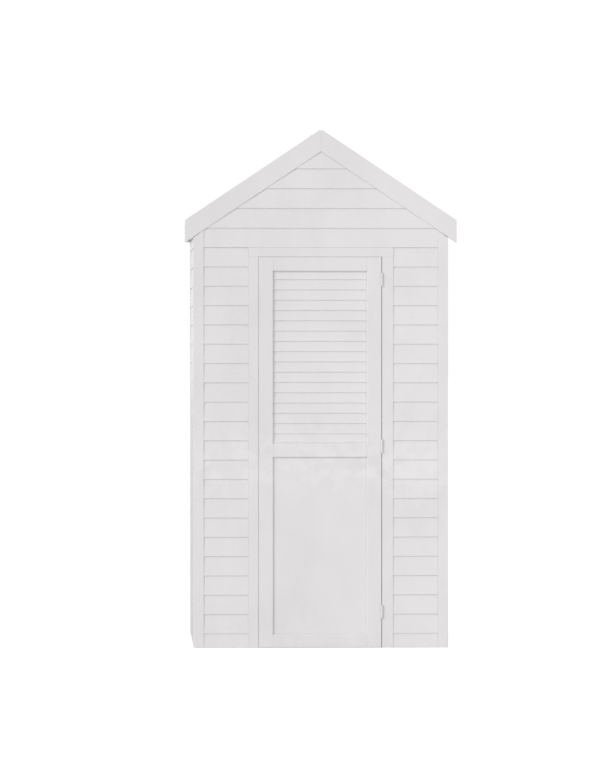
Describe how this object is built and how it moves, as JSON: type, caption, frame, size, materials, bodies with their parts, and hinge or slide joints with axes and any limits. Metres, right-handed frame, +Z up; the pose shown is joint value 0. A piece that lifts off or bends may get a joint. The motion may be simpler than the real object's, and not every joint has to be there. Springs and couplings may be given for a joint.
{
  "type": "gabled walk-in hutch",
  "caption": "Tall narrow gabled cabin of white weatherboard-effect panels, with a louvred door hinged on the right.",
  "frame": {"origin": "on the ground, under the middle of the object's box", "axes": "+Z up, front and door face -Y, +X to the right of someone facing the door"},
  "size_m": [1.251, 1.1094, 2.384],
  "materials": {
    "white_shell": "satin white moulded shell",
    "white_metal": "white paint on pressed steel",
    "pin_steel": "bare steel pin",
    "keeper_steel": "zinc-plated plate",
    "catch_plastic": "matte moulded case",
    "floor_plastic": "matte pale grey tray"
  },
  "bodies": {
    "root": {"bargeboard_front_left": "white_shell", "bargeboard_front_right": "white_shell", "bargeboard_rear_left": "white_shell", "bargeboard_rear_right": "white_shell", "catch_body": "catch_plastic", "corner_post_front_left": "white_shell", "corner_post_front_right": "white_shell", "corner_post_rear_left": "white_shell", "corner_post_rear_right": "white_shell", "door_head": "white_shell", "door_jamb_hinge_side": "white_shell", "door_jamb_latch_side": "white_shell", "eave_fascia_left": "white_shell", "eave_fascia_right": "white_shell", "floor_panel": "floor_plastic", "front_gable_panel": "white_shell", "front_panel_left": "white_shell", "front_panel_right": "white_shell", "hinge_frame_leaf_1": "white_metal", "hinge_frame_leaf_2": "white_metal", "hinge_frame_leaf_3": "white_metal", "hinge_pin_1": "pin_steel", "hinge_pin_2": "pin_steel", "hinge_pin_3": "pin_steel", "rear_gable_panel": "white_shell", "rear_panel": "white_shell", "ridge_cap": "white_shell", "roof_panel_left": "white_shell", "roof_panel_right": "white_shell", "side_panel_left": "white_shell", "side_panel_right": "white_shell", "wall_plate_left": "white_shell", "wall_plate_right": "white_shell"},
    "door": {"bottom_rail": "white_shell", "catch_keeper": "keeper_steel", "hinge_door_leaf_1": "white_metal", "hinge_door_leaf_2": "white_metal", "hinge_door_leaf_3": "white_metal", "hinge_stile": "white_shell", "latch_stile": "white_shell", "louvre_slat_01": "white_shell", "louvre_slat_02": "white_shell", "louvre_slat_03": "white_shell", "louvre_slat_04": "white_shell", "louvre_slat_05": "white_shell", "louvre_slat_06": "white_shell", "louvre_slat_07": "white_shell", "louvre_slat_08": "white_shell", "louvre_slat_09": "white_shell", "louvre_slat_10": "white_shell", "louvre_slat_11": "white_shell", "louvre_slat_12": "white_shell", "louvre_slat_13": "white_shell", "louvre_slat_14": "white_shell", "louvre_slat_15": "white_shell", "louvre_slat_16": "white_shell", "louvre_slat_17": "white_shell", "lower_panel": "white_shell", "middle_rail": "white_shell", "top_rail": "white_shell"}
  },
  "joints": [
    {"name": "door_hinge", "type": "hinge", "parent": "root", "child": "door", "pos_m": [0.28075, -0.55015, 0.93], "axis": [0, 0, 1], "range_deg": [0, 170]}
  ]
}
